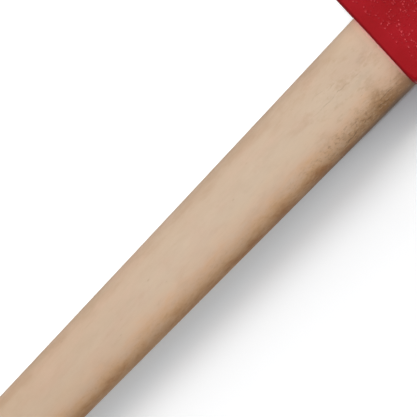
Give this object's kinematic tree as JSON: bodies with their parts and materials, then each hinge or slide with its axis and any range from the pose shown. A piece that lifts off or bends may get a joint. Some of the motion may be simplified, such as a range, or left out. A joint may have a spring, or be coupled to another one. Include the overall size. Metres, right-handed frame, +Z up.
{
  "type": "reflex hammer",
  "caption": "Tomahawk reflex hammer: flat wedge-shaped rubber head with crowned ends, on a tapered full-oval wooden handle held by a screw and cup washer.",
  "frame": {"origin": "on the surface the hammer lies on, under the middle of its length and width", "axes": "+X along the handle toward the head, +Y toward the head's narrow end, +Z up, away from the surface"},
  "size_m": [0.2314, 0.0636, 0.0211],
  "materials": {
    "beech": "sanded bare beech, fine pores and faint grain, dry satin sheen",
    "red_rubber": "deep red moulded rubber, finely pebbled, semi-gloss",
    "sleeve_alloy": "turned, as machined",
    "plated_steel": "nickel plated, lightly brushed"
  },
  "bodies": {
    "root": {"handle": "beech", "head": "red_rubber", "eye_sleeve": "sleeve_alloy", "cup_washer": "plated_steel", "top_screw": "plated_steel"}
  },
  "joints": []
}
